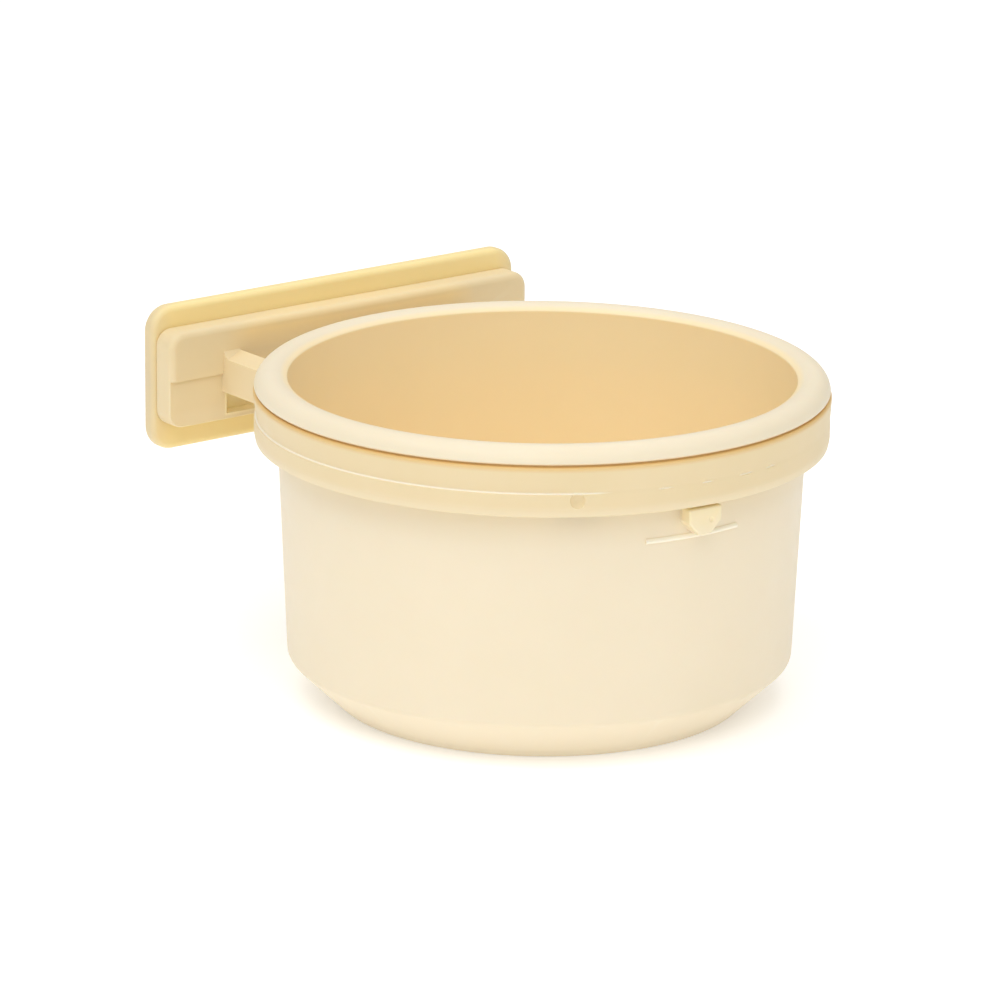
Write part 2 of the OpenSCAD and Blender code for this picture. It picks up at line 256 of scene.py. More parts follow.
def turned(name, profile, start=0.0, sweep=math.tau, steps=TURNS):
    """A closed outline of radius and height, or a function of the angle that gives one, turned about Z."""
    shape = profile if callable(profile) else lambda angle: profile
    on_axis = [radius < MERGE for radius, height in shape(start)]
    bm = bmesh.new()
    full = sweep == math.tau
    stations = steps if full else steps + 1
    rings = []
    for i in range(stations):
        angle = start + sweep * i / steps
        rings.append([bm.verts.new((r * math.cos(angle), r * math.sin(angle), z)) for r, z in shape(angle)])
    for i in range(steps):
        here, there = rings[i], rings[(i + 1) % stations]
        for j in range(len(on_axis)):
            k = (j + 1) % len(on_axis)
            if on_axis[j] and on_axis[k]:
                continue
            corners = [here[j], here[k], there[k], there[j]]
            if on_axis[j]:
                corners.remove(there[j])
            elif on_axis[k]:
                corners.remove(there[k])
            bm.faces.new(corners)
    if not full:
        bm.faces.new(rings[0])
        bm.faces.new(rings[-1][::-1])
    return mesh_object(name, bm)


def extruded(name, outline, low, high, place):
    """A prism from an outline in the plane of place, between two distances along its normal."""
    bm = bmesh.new()
    ends = [[bm.verts.new(place @ Vector((x, y, z))) for x, y in outline] for z in (low, high)]
    bm.faces.new(ends[0][::-1])
    bm.faces.new(ends[1])
    for i in range(len(outline)):
        k = (i + 1) % len(outline)
        bm.faces.new([ends[0][i], ends[0][k], ends[1][k], ends[1][i]])
    return mesh_object(name, bm)


def block(name, low, high):
    """A plain box between two corners, used as a cutter or a blank."""
    outline = [(low[0], low[1]), (high[0], low[1]), (high[0], high[1]), (low[0], high[1])]
    return extruded(name, outline, low[2], high[2], Matrix.Identity(4))


def rounded_outline(width, height, radius, steps):
    """The outline of a rectangle with round corners, centred on zero."""
    x, y = width / 2 - radius, height / 2 - radius
    return (
        arc((x, -y), radius, -90, 0, steps)
        + arc((x, y), radius, 0, 90, steps)
        + arc((-x, y), radius, 90, 180, steps)
        + arc((-x, -y), radius, 180, 270, steps)
    )


def settled(piece):
    """Applies the modifiers of a piece to its mesh."""
    depsgraph = bpy.context.evaluated_depsgraph_get()
    mesh = bpy.data.meshes.new_from_object(piece.evaluated_get(depsgraph))
    old = piece.data
    piece.modifiers.clear()
    piece.data = mesh
    mesh.name = piece.name
    bpy.data.meshes.remove(old)
    return piece


def combined(piece, others, operation):
    """Adds other solids to a piece, or cuts them out of it."""
    for other in others:
        modifier = piece.modifiers.new(other.name, "BOOLEAN")
        modifier.object = other
        modifier.operation = operation
        modifier.solver = "EXACT"
    settled(piece)
    for other in others:
        bpy.data.objects.remove(other)
    return piece


def bevelled(piece, width, segments, angle):
    """Rounds the edges of a piece that are sharper than an angle in degrees."""
    modifier = piece.modifiers.new("edges", "BEVEL")
    modifier.width = width
    modifier.segments = segments
    modifier.limit_method = "ANGLE"
    modifier.angle_limit = math.radians(angle)
    modifier.harden_normals = False
    return settled(piece)


def cleaned(piece):
    """A piece without the slivers that cuts leave behind."""
    bm = bmesh.new()
    bm.from_mesh(piece.data)
    bmesh.ops.dissolve_degenerate(bm, dist=MERGE, edges=bm.edges)
    bm.to_mesh(piece.data)
    bm.free()
    return piece


def shaded(piece, material):
    """Smooth shading, with edges past the angle SHARP kept sharp, and one material."""
    cleaned(piece).data.shade_smooth()
    piece.data.set_sharp_from_angle(angle=SHARP)
    weighted = piece.modifiers.new("weighted", "WEIGHTED_NORMAL")
    weighted.keep_sharp = True
    settled(piece)
    piece.data.materials.clear()
    piece.data.materials.append(material)
    return piece


def ball(name, turn, radius, height, sizes):
    """An ellipsoid at an angle, radius and height, with its half sizes outwards, along the curve and up."""
    bm = bmesh.new()
    bmesh.ops.create_uvsphere(bm, u_segments=20, v_segments=12, radius=1.0)
    scale = Matrix.Diagonal((*sizes, 1.0))
    place = Matrix.Rotation(turn, 4, "Z") @ Matrix.Translation((radius, 0, height))
    bm.transform(place @ scale)
    return mesh_object(name, bm)


def placed(piece, place):
    """A turned piece moved to its place, with its normals made to point out again where that mirrors it."""
    piece.data.transform(place)
    bm = bmesh.new()
    bm.from_mesh(piece.data)
    bmesh.ops.recalc_face_normals(bm, faces=bm.faces)
    bm.to_mesh(piece.data)
    bm.free()
    return piece


def upright(y):
    """The plane of the clamp plates at a distance y: x across, the outline's y up, its normal along +Y."""
    return Matrix(((1, 0, 0, 0), (0, 0, 1, y), (0, 1, 0, 0), (0, 0, 0, 1)))


def along_bolt(y):
    """As upright, with the bolt's axis at zero."""
    return Matrix.Translation((0, 0, BOLT_H)) @ upright(y)


def circle(radius, steps=64):
    """The outline of a circle or, with few steps, of a regular polygon."""
    return arc((0, 0), radius, 0, 360 * (steps - 1) / steps, steps - 1)


def hexagon(across):
    """The outline of a hexagon, from its size across the flats."""
    return circle(across / math.sqrt(3), 6)


# Materials

# Patterns of noise: scale, detail and roughness
CLOUDS = (38.0, 4.0, 0.6)
HANDLING = (210.0, 5.0, 0.65)
RIPPLE = (900.0, 3.0, 0.5)
SPANGLE = (260.0, 4.0, 0.6)
DULL_SPOTS = (600.0, 4.0, 0.6)
GRAIN = (1500.0, 2.0, 0.5)

# The stretches of a noise's values that show as patches and as uneven gloss, and a ramp's two ends
PATCHES = (0.35, 0.7)
UNEVEN = (0.3, 0.75)
RISE = (0.0, 1.0)
FALL = (1.0, 0.0)


def node_kit(name):
    """A new material with its node tree, Principled shader and Object coordinates."""
    material = bpy.data.materials.new(name)
    material.use_nodes = True
    tree = material.node_tree
    shader = tree.nodes["Principled BSDF"]
    place = tree.nodes.new("ShaderNodeTexCoord")
    return material, tree, shader, place.outputs["Object"]


def noise(tree, place, pattern):
    """Noise at a place, in one of the patterns above."""
    node = tree.nodes.new("ShaderNodeTexNoise")
    for socket, number in zip(("Scale", "Detail", "Roughness"), pattern):
        node.inputs[socket].default_value = number
    tree.links.new(place, node.inputs["Vector"])
    return node.outputs["Fac"]


def spread(tree, value, source, target):
    """A value, carried over from one stretch of numbers to another and held at its ends."""
    node = tree.nodes.new("ShaderNodeMapRange")
    for socket, number in zip(("From Min", "From Max", "To Min", "To Max"), (*source, *target)):
        node.inputs[socket].default_value = number
    tree.links.new(value, node.inputs["Value"])
    return node.outputs["Result"]


def mixed(tree, factor, first, second):
    """A colour between two, by a factor."""
    node = tree.nodes.new("ShaderNodeMix")
    node.data_type = "RGBA"
    tree.links.new(factor, node.inputs["Factor"])
    for socket, colour in zip((node.inputs["A"], node.inputs["B"]), (first, second)):
        if isinstance(colour, bpy.types.NodeSocket):
            tree.links.new(colour, socket)
        else:
            socket.default_value = (*colour, 1.0)
    return node.outputs["Result"]


def arithmetic(tree, operation, *values):
    """A Math node on sockets or numbers."""
    node = tree.nodes.new("ShaderNodeMath")
    node.operation = operation
    for socket, value in zip(node.inputs, values):
        if isinstance(value, bpy.types.NodeSocket):
            tree.links.new(value, socket)
        else:
            socket.default_value = value
    return node.outputs["Value"]


def coordinates(tree, place):
    """The three coordinates of a place, as sockets."""
    parts = tree.nodes.new("ShaderNodeSeparateXYZ")
    tree.links.new(place, parts.inputs["Vector"])
    return [parts.outputs[axis] for axis in "XYZ"]


def height_and_radius(tree, place):
    """The height of a place and its distance from the cup's axis, as two sockets."""
    east, north, height = coordinates(tree, place)
    squares = [arithmetic(tree, "MULTIPLY", axis, axis) for axis in (east, north)]
    return height, arithmetic(tree, "SQRT", arithmetic(tree, "ADD", *squares))


def inside_cup(tree, place):
    """From 0 on the outside of the cup to 1 on its inside, split along the middle of its wall."""
    height, radius = height_and_radius(tree, place)
    lean = (WALL_TOP_R - WALL_LOW_R) / (RIM_UNDER - FOOT_H)
    wall = arithmetic(tree, "MULTIPLY_ADD", height, lean, WALL_LOW_R - lean * FOOT_H - WALL / 2)
    foot = arithmetic(tree, "MULTIPLY_ADD", height, FOOT_REACH / FOOT_H, BASE_R - WALL * BOUNCE_FOOT_SHARE)
    in_wall = arithmetic(tree, "SUBTRACT", wall, radius)
    in_foot = arithmetic(tree, "SUBTRACT", foot, radius)
    on_floor = arithmetic(tree, "SUBTRACT", height, FLOOR * BOUNCE_FLOOR_SHARE)
    depth = arithmetic(tree, "MINIMUM", arithmetic(tree, "MINIMUM", in_wall, in_foot), on_floor)
    return spread(tree, depth, BOUNCE_EDGE, RISE)


def tinted(tree, place, body, tint):
    """The colour body, drawn towards a tint's colour inside the tint's zone."""
    colour, middle, below, above, inner, outer = tint
    height, radius = height_and_radius(tree, place)
    width = outer - inner
    share = arithmetic(
        tree,
        "MULTIPLY",
        spread(tree, height, (middle - below, middle), RISE),
        spread(tree, height, (middle, middle + above), FALL),
    )
    reach = arithmetic(
        tree,
        "MULTIPLY",
        spread(tree, radius, (inner, inner + ZONE_INNER_SHARE * width), RISE),
        spread(tree, radius, (outer - ZONE_OUTER_SHARE * width, outer), FALL),
    )
    return mixed(tree, arithmetic(tree, "MULTIPLY", share, reach), body, colour)


def in_slot(tree, place):
    """1 inside the bolt slot of the inner plate, 0 on the rest of the bracket."""
    side, depth, height = coordinates(tree, place)
    near, far = SLOT_EDGE
    slot_top, slot_low = BOLT_H + SLOT_H / 2, BOLT_H - SLOT_H / 2
    limits = [
        spread(tree, arithmetic(tree, "ABSOLUTE", side), (SLOT_W / 2 + near, SLOT_W / 2 + far), FALL),
        spread(tree, depth, (INNER_FRONT + near, INNER_FRONT + far), RISE),
        spread(tree, height, (slot_top + near, slot_top + far), FALL),
        spread(tree, height, (slot_low - far, slot_low - near), RISE),
    ]
    within = limits[0]
    for limit in limits[1:]:
        within = arithmetic(tree, "MULTIPLY", within, limit)
    return within


def textured(tree, shader, place, rough, roughness, grain, strength, depth):
    """Uneven roughness between two values, from one noise, and a fine bump from another."""
    uneven = spread(tree, noise(tree, place, rough), UNEVEN, roughness)
    tree.links.new(uneven, shader.inputs["Roughness"])
    bump = tree.nodes.new("ShaderNodeBump")
    bump.inputs["Strength"].default_value = strength
    bump.inputs["Distance"].default_value = depth
    tree.links.new(noise(tree, place, grain), bump.inputs["Height"])
    tree.links.new(bump.outputs["Normal"], shader.inputs["Normal"])


def moulded_plastic(name, colour, cloudy, edge_wear_and_shade, gloss, tints=(), inside_bounce=None, pocket=None, shine=0.5):
    """Semi-gloss moulded plastic: cloudy colour, zones of painted light and shade, a faint ripple, and a
    colour on sharp edges: paler wear on the cup, bracket and nut, painted shade on the outer plate.
    """
    material, tree, shader, place = node_kit(name)
    clouds = spread(tree, noise(tree, place, CLOUDS), PATCHES, RISE)
    body = mixed(tree, clouds, colour, cloudy)
    # Zones of painted light and shade, drawn over the body colour
    for tint in tints:
        body = tinted(tree, place, body, tint)
    # Painted bounce light: the cup's inside drawn warmer and deeper than its outside
    if inside_bounce:
        body = mixed(tree, inside_cup(tree, place), body, mixed(tree, clouds, *inside_bounce))
    # Painted light: the shaded bolt slot drawn paler, for the light that bounces into it
    if pocket:
        body = mixed(tree, in_slot(tree, place), body, pocket)
    # Sharp edges take the edge colour: paler wear on the cup, bracket and nut, painted shade on the outer
    # plate
    geometry = tree.nodes.new("ShaderNodeNewGeometry")
    edges = spread(tree, geometry.outputs["Pointiness"], WEAR_AND_SHADE_EDGES, WEAR_AND_SHADE_SHARES)
    tree.links.new(mixed(tree, edges, body, edge_wear_and_shade), shader.inputs["Base Color"])
    roughness = (gloss - 0.05, gloss + 0.09)
    textured(tree, shader, place, HANDLING, roughness, RIPPLE, strength=0.06, depth=0.2 * MM)
    shader.inputs["IOR"].default_value = 1.49
    shader.inputs["Specular IOR Level"].default_value = shine
    shader.inputs["Subsurface Weight"].default_value = 0.15
    shader.inputs["Subsurface Radius"].default_value = (1.0, 0.7, 0.4)
    shader.inputs["Subsurface Scale"].default_value = 2.0 * MM
    return material


def plated_steel(name):
    """Zinc-plated steel with a fine spangle and duller patches."""
    material, tree, shader, place = node_kit(name)
    spots = spread(tree, noise(tree, place, SPANGLE), PATCHES, RISE)
    tree.links.new(mixed(tree, spots, (0.62, 0.63, 0.64), (0.47, 0.47, 0.46)), shader.inputs["Base Color"])
    textured(tree, shader, place, DULL_SPOTS, (0.24, 0.42), GRAIN, strength=0.08, depth=0.05 * MM)
    shader.inputs["Metallic"].default_value = 1.0
    return material


# Where the painted bounce light on the cup's inside begins, as shares of the wall's and the floor's
# thickness, and how its edge runs out
BOUNCE_FOOT_SHARE = 0.7
BOUNCE_FLOOR_SHARE = 0.65
BOUNCE_EDGE = (-0.1 * MM, 0.7 * MM)

# How a tint's zone runs out towards its inner and outer radius, and how the bolt slot's does at its mouth
ZONE_INNER_SHARE = 0.15
ZONE_OUTER_SHARE = 0.3
SLOT_EDGE = (0.1 * MM, 0.5 * MM)

# Sharpness from which edges take the edge colour, paler wear on the cup, bracket and nut and painted shade on
# the outer plate, and how far they take it
WEAR_AND_SHADE_EDGES = (0.52, 0.6)
WEAR_AND_SHADE_SHARES = (0.0, 0.45)

# Zones of painted light and shade on the plastic: a height, how far below and above it they reach, and two
# radii
# Painted shade: the gap between the rim and the ring drawn deep orange on both parts
SEAM_SHADE = (RING_TOP, 1.0 * MM, 0.7 * MM, RIM_R - 1.4 * MM, RIM_R + 1.5 * MM)
# Painted shadow: the wall just below the ring drawn darker, where the ring shades it
UNDER_RING_SHADOW = (RING_LOW, 7.0 * MM, 2.0 * MM, WALL_LOW_R, RING_IN_R + 6.0 * MM)
# Painted light: the lugs drawn lighter and warmer than the wall
LUG_FACE_LIGHT = (LUG_TOP, LUG_H + 1.5 * MM, 1.0 * MM, wall_r(LUG_TOP) + 0.2 * MM, LUG_OUT_R + 1.5 * MM)
# Painted highlight: the top edge of each guide rib drawn pale
RIB_EDGE_HIGHLIGHT = (RIB_TOP - 0.2 * MM, 1.2 * MM, 1.0 * MM, wall_r(RIB_TOP) + 0.05 * MM, wall_r(RIB_TOP) + 1.0 * MM)
# Painted light: the ring's lower bevel drawn paler, for the light it gets from the floor
RING_BEVEL_LIGHT = (RING_LOW + 0.4 * MM, 1.0 * MM, 1.6 * MM, RIM_R - 1.6 * MM, RIM_R + 1.5 * MM)
# Painted highlight: the ledge at the ring's step, with its short glinting ledges, drawn pale
LEDGE_HIGHLIGHT = (BAND_TOP - 0.05 * MM, 0.35 * MM, 0.3 * MM, BAND_OUT_R - 0.6 * MM, BAND_OUT_R - 0.07 * MM)
# Painted bounce light: the inner plate's face behind the rim drawn a brighter orange
PLATE_BOUNCE_LIGHT = (RING_TOP + 1.6 * MM, 3.6 * MM, 2.6 * MM, INNER_FRONT - 1.0 * MM, INNER_FRONT + 6.5 * MM)
# Painted shade: the outer plate's ends drawn darker
PLATE_ENDS_SHADE = (OUTER_MID, 60.0 * MM, 60.0 * MM, INNER_FRONT + 15.0 * MM, INNER_FRONT + 34.5 * MM)

bowl_plastic = moulded_plastic(
    "cream_bowl_plastic",
    colour=(0.872, 0.766, 0.57),
    cloudy=(0.855, 0.748, 0.548),
    edge_wear_and_shade=(0.89, 0.80, 0.63),
    gloss=0.46,
    tints=[
        # Painted shadow of the ring on the wall
        ((0.84, 0.722, 0.50), *UNDER_RING_SHADOW),
        # Painted shade in the gap under the rim
        ((0.80, 0.50, 0.18), *SEAM_SHADE),
        # Painted light on the lugs
        ((0.95, 0.80, 0.48), *LUG_FACE_LIGHT),
        # Painted highlight on the ribs' top edges
        ((1.0, 0.93, 0.76), *RIB_EDGE_HIGHLIGHT),
    ],
    # Painted bounce light on the cup's inside
    inside_bounce=((0.965, 0.80, 0.505), (0.95, 0.784, 0.484)),
)
bracket_plastic = moulded_plastic(
    "cream_bracket_plastic",
    colour=(0.82, 0.67, 0.415),
    cloudy=(0.80, 0.65, 0.39),
    edge_wear_and_shade=(0.85, 0.73, 0.49),
    gloss=0.48,
    tints=[
        # Painted shade in the gap on the ring's top
        ((0.77, 0.50, 0.18), *SEAM_SHADE),
        # Painted light on the ring's lower bevel
        ((0.83, 0.70, 0.47), *RING_BEVEL_LIGHT),
        # Painted highlight on the ring's ledges
        ((0.96, 0.89, 0.74), *LEDGE_HIGHLIGHT),
        # Painted bounce light on the inner plate behind the rim
        ((0.96, 0.74, 0.38), *PLATE_BOUNCE_LIGHT),
    ],
    # Painted light in the bolt slot
    pocket=(1.0, 0.85, 0.51),
    shine=0.35,
)
plate_plastic = moulded_plastic(
    "yellow_cream_plate_plastic",
    colour=(0.97, 0.782, 0.38),
    cloudy=(0.95, 0.762, 0.357),
    # Painted shade: the outer plate's sharp edges drawn darker than its face
    edge_wear_and_shade=(0.80, 0.66, 0.40),
    gloss=0.5,
    # Painted shade on the outer plate's ends
    tints=[((0.72, 0.585, 0.36), *PLATE_ENDS_SHADE)],
)
steel = plated_steel("plated_steel")


# Bowl


def mouth_round(inner_mid):
    """Centre of the small round at the rim's inner edge, and the angle where it leaves the rim's top."""
    reach = RIM_INNER_ROUND - MOUTH_ROUND
    way = math.acos((MOUTH_R + MOUTH_ROUND - inner_mid[0]) / reach)
    return (MOUTH_R + MOUTH_ROUND, inner_mid[1] + reach * math.sin(way)), math.degrees(way)


def bowl_profile():
    """The bowl's section: recessed base, sloping foot, tapered wall, rolled rim, inner wall and floor."""
    recess_r = BASE_R - BASE_RING_W
    slope = math.degrees(math.atan2(FOOT_H, FOOT_REACH))
    wall_way = math.degrees(math.atan2(RIM_UNDER - FOOT_H, WALL_TOP_R - WALL_LOW_R))
    lip = (RIM_R - RIM_LIP, RIM_UNDER + RIM_LIP)
    lip_way = math.degrees(math.asin(RIM_LIP / (RIM_ROUND - RIM_LIP)))
    rim_mid = (lip[0] - (RIM_ROUND - RIM_LIP) * math.cos(math.radians(lip_way)), RIM_UNDER)
    inner_mid = (rim_mid[0], RIM_UNDER + RIM_ROUND - RIM_INNER_ROUND)
    mouth_mid, mouth_way = mouth_round(inner_mid)
    foot_corner, base_corner = (WALL_LOW_R, FOOT_H), (BASE_R, 0)
    inner_corner = corner_round(foot_corner, wall_way, 180 + slope, WALL)
    inner_way = math.degrees(math.atan2(RIM_UNDER - inner_corner[1], MOUTH_R - inner_corner[0]))
    floor_corner = (inner_corner[0] - (inner_corner[1] - FLOOR) / math.tan(math.radians(slope)), FLOOR)
    points = [(0, RECESS), (recess_r - BOWL_EDGE, RECESS)]
    points += [(recess_r, RECESS - BOWL_EDGE), (recess_r + BOWL_EDGE, 0)]
    points += arc(corner_round(base_corner, slope, 180, BASE_ROUND), BASE_ROUND, -90, slope - 90, 8)
    foot_round = corner_round(foot_corner, wall_way, 180 + slope, FOOT_ROUND)
    points += arc(foot_round, FOOT_ROUND, slope - 90, wall_way - 90, 12)
    points += [(wall_r(RIM_UNDER * share), RIM_UNDER * share) for share in WALL_SHARES]
    points += arc((WALL_TOP_R + BOWL_EDGE, RIM_UNDER - BOWL_EDGE), BOWL_EDGE, 180, 90, 4)
    points += arc(lip, RIM_LIP, -90, lip_way, 8)
    points += arc(rim_mid, RIM_ROUND, lip_way, 90, 20)[1:]
    points += arc(inner_mid, RIM_INNER_ROUND, 90, mouth_way, 16)[1:]
    points += arc(mouth_mid, MOUTH_ROUND, mouth_way, 180, 6)[1:]
    points += [(MOUTH_R, RIM_UNDER)]
    inner_round = corner_round(inner_corner, inner_way, 180 + slope, INNER_ROUND)
    points += arc(inner_round, INNER_ROUND, inner_way - 90, slope - 90, 10)
    points += arc(corner_round(floor_corner, slope, 180, INNER_ROUND), INNER_ROUND, slope - 90, -90, 10)
    points += [(floor_corner[0] / 2, FLOOR), (0, FLOOR)]
    return points


def lug(name, turn):
    """A locking lug with a tapered lower end, standing out from the wall."""
    root = wall_r(LUG_TOP) - WALL / 2
    outline = [
        (-LUG_W / 2, 0),
        (-LUG_W / 2, -LUG_SIDE),
        (-LUG_TIP_W / 2, -LUG_H),
        (LUG_TIP_W / 2, -LUG_H),
        (LUG_W / 2, -LUG_SIDE),
        (LUG_W / 2, 0),
    ]
    outward = Matrix(((0, 0, 1, 0), (1, 0, 0, 0), (0, 1, 0, LUG_TOP), (0, 0, 0, 1)))
    piece = extruded(name, outline, root, LUG_OUT_R, Matrix.Rotation(turn, 4, "Z") @ outward)
    bevelled(piece, LUG_EDGE, segments=3, angle=20.0)
    pin = ball(f"{name}_pin", turn + PIN_TURN, LUG_OUT_R + PIN_OUT, LUG_TOP - PIN_DROP, PIN_SIZES)
    return combined(piece, [pin], "DIFFERENCE")


def guide_rib(name, turn):
    """A thin rib on the wall, just below a lug, with a round edge and a top that slopes up to the wall."""
    root = wall_r(RIB_TOP) - WALL / 2
    tip = wall_r(RIB_TOP) + RIB_REACH
    edge = arc((tip - RIB_H / 2, RIB_TOP - RIB_H / 2), RIB_H / 2, -90, 45, 8)
    slope_r, slope_low = edge[-1]
    profile = [(root, RIB_TOP - RIB_H), *edge, (root, slope_low + slope_r - root)]
    return turned(name, profile, turn + RIB_TURN - RIB_HALF, 2 * RIB_HALF, steps=36)


def make_bowl():
    """The bowl, with a lug and a guide rib in front and at the rear."""
    piece = turned("cup_bowl", bowl_profile())
    extras = []
    for side, label in ((FRONT, "front"), (REAR, "rear")):
        extras.append(lug(f"{label}_lug", side + LUG_TURN))
        extras.append(guide_rib(f"{label}_rib", side + LUG_TURN))
    combined(piece, extras, "UNION")
    shaded(piece, bowl_plastic)
    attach(piece, "cup")
    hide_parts("bowl")
    return piece


# Ring bracket


def ramp(value, low, high):
    """From 0 at low to 1 at high, and held beyond them."""
    return min(max((value - low) / (high - low), 0.0), 1.0)


def step_depths(angle):
    """Depths of the ring's step and of the ledge at its foot; the step is almost filled along its front."""
    degrees = (math.degrees(angle) + 180) % 360 - 180
    fade = ramp(degrees, *FADE_OUT) - ramp(degrees, *FADE_BACK)
    bare = min([1.0] + [abs(degrees - middle) / reach for middle, reach in LEDGES])
    shares = (fade, min(fade, bare))
    return [BAND_STEP * (1 - FILLED_SHARE * share * share * (3 - 2 * share)) for share in shares]


def ring_profile(angle):
    """The ring's section: bevelled lower band, a step, and an upper band that leans out to a rounded edge."""
    step, ledge = step_depths(angle)
    low_r = BAND_OUT_R - BEVEL_IN
    slant = BEVEL_IN / BEVEL_H
    lean = (RING_OUT_R - BAND_OUT_R + step) / (RING_TOP - RING_ROUND - BAND_TOP)
    seat = RIM_UNDER - HAIR
    return [
        (RING_IN_R + RING_EDGE, RING_LOW),
        (low_r - RING_EDGE, RING_LOW),
        (low_r + RING_EDGE * slant, RING_LOW + RING_EDGE),
        (BAND_OUT_R - RING_EDGE * slant, RING_LOW + BEVEL_H - RING_EDGE),
        (BAND_OUT_R, RING_LOW + BEVEL_H + RING_EDGE),
        (BAND_OUT_R, BAND_TOP - LEDGE_H),
        (BAND_OUT_R - ledge, BAND_TOP),
        (BAND_OUT_R - step + lean * 2 * LEDGE_H, BAND_TOP + 2 * LEDGE_H),
        *arc((RING_OUT_R - RING_ROUND, RING_TOP - RING_ROUND), RING_ROUND, 0, 90, 8),
        (SEAT_R, RING_TOP),
        (SEAT_R - RING_EDGE, seat),
        (RING_IN_R + 2 * RING_EDGE, seat),
        (RING_IN_R, seat - 2 * RING_EDGE),
        (RING_IN_R, RING_LOW + RING_EDGE),
    ]


def sector(name, turn, half, inner, outer, low, high):
    """A block of the ring's curve, centred on an angle."""
    outline = [(inner, low), (outer, low), (outer, high), (inner, high)]
    return turned(name, outline, turn - half, 2 * half, steps=12)


def notch(name, turn):
    """The way in the ring's inner face that a lug drops through."""
    half = LUG_W / 2 + LUG_PLAY
    cutter = block(name, (RING_IN_R - CUT, -half, RING_LOW - CUT), (NOTCH_R, half, RIM_UNDER + CUT))
    cutter.data.transform(Matrix.Rotation(turn, 4, "Z"))
    return cutter


def arm(name, side):
    """An arm from the ring to the bolt slot's floor, its top sloping outwards, with a gusset at the plate."""
    start = math.sqrt(RING_MID_R**2 - ARM_X**2)
    low = RING_LOW + HAIR
    top = RING_LOW + ARM_H
    inner, outer = side * (ARM_X - ARM_W / 2), side * (ARM_X + ARM_W / 2)
    outline = [(inner, low), (outer, low), (outer, top), (inner, top + ARM_RISE)]
    piece = extruded(name, outline, start, SLOT_FLOOR + SUNK, upright(0))
    corner = [
        (INNER_FRONT - GUSSET, top),
        (INNER_FRONT - GUSSET, top - GUSSET),
        (SLOT_FLOOR, top - GUSSET),
        (SLOT_FLOOR, top + GUSSET),
        (INNER_FRONT, top + GUSSET),
    ]
    half = ARM_W / 2 - HAIR
    across = Matrix(((0, 0, 1, side * ARM_X), (1, 0, 0, 0), (0, 1, 0, 0), (0, 0, 0, 1)))
    combined(piece, [extruded(f"{name}_gusset", corner, -half, half, across)], "UNION")
    return bevelled(piece, ARM_EDGE, segments=2, angle=20.0)


def plate_slab(name, front, middle, width, height, thickness, radius, soft):
    """A flat slab from a front face and a middle height, with rounded corners and a softer front edge."""
    layers = [(soft - x, soft - y) for x, y in arc((0, 0), soft, 0, 90, 8)][::-1]
    layers += [(EDGE_R - x, thickness - EDGE_R + y) for x, y in arc((0, 0), EDGE_R, 0, 90, 5)]
    bm = bmesh.new()
    rings = []
    for inset, depth in layers:
        outline = rounded_outline(width - 2 * inset, height - 2 * inset, radius - inset, 12)
        rings.append([bm.verts.new((x, front + depth, middle + z)) for x, z in outline])
    for here, there in zip(rings, rings[1:]):
        for i in range(len(here)):
            k = (i + 1) % len(here)
            bm.faces.new([here[i], here[k], there[k], there[i]])
    bm.faces.new(rings[0])
    bm.faces.new(rings[-1][::-1])
    return mesh_object(name, bm)


def inner_plate():
    """The inner clamp plate, its lower half set back, with the slot for the bolt's head."""
    thickness = INNER_BACK - INNER_FRONT
    front, low = INNER_FRONT - CUT, PLATE_MID - INNER_H / 2
    sill = low + SLOT_SILL
    piece = plate_slab(
        "bracket_body", INNER_FRONT, PLATE_MID, INNER_W, INNER_H, thickness, CORNER_R, INNER_SOFT
    )
    cuts = [
        block("lower_half", (-INNER_W, front, low - CUT), (INNER_W, INNER_FRONT + HALF_STEP, PLATE_MID)),
        block("bolt_slot", (-SLOT_W / 2, front, sill), (SLOT_W / 2, SLOT_FLOOR, sill + SLOT_H)),
    ]
    combined(piece, cuts, "DIFFERENCE")
    return bevelled(piece, STEP_EDGE, segments=2, angle=50.0)


def stops():
    """Two blocks under the ring at the rear that end the cup's twist on both sides of its lug."""
    inner, outer = RING_IN_R + LUG_PLAY, BAND_OUT_R - 2 * BEVEL_IN
    low, high = RING_LOW - STOP_H, RING_LOW + BEVEL_IN
    blocks = []
    for middle, way in ((REAR + LUG_TURN, 1), (REAR + NOTCH_TURN, -1)):
        turn = middle + way * (FLANK + STOP_SPAN / 2)
        blocks.append(sector(f"stop_{way + 2}", turn, STOP_SPAN / 2, inner, outer, low, high))
    return blocks


def make_bracket():
    """The bracket: ring, two arms and inner plate in one moulding, with the way in for the lugs."""
    piece = inner_plate()
    parts = [turned("ring", ring_profile, steps=RING_TURNS), arm("left_arm", -1), arm("right_arm", 1)]
    combined(piece, parts + stops(), "UNION")
    depth = INNER_BACK - SLOT_FLOOR
    cuts = [
        notch("front_notch", FRONT + NOTCH_TURN),
        notch("rear_notch", REAR + NOTCH_TURN),
        ball("gate_mark", GATE_TURN, BAND_OUT_R + GATE_OUT, RING_LOW + GATE_RISE, GATE_SIZES),
        extruded("bolt_hole", circle(HOLE_R), -CUT, depth + CUT, along_bolt(SLOT_FLOOR)),
    ]
    combined(piece, cuts, "DIFFERENCE")
    shaded(piece, bracket_plastic)
    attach(piece, "bracket")
    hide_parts("ring_bracket")
    return piece


# Outer clamp plate


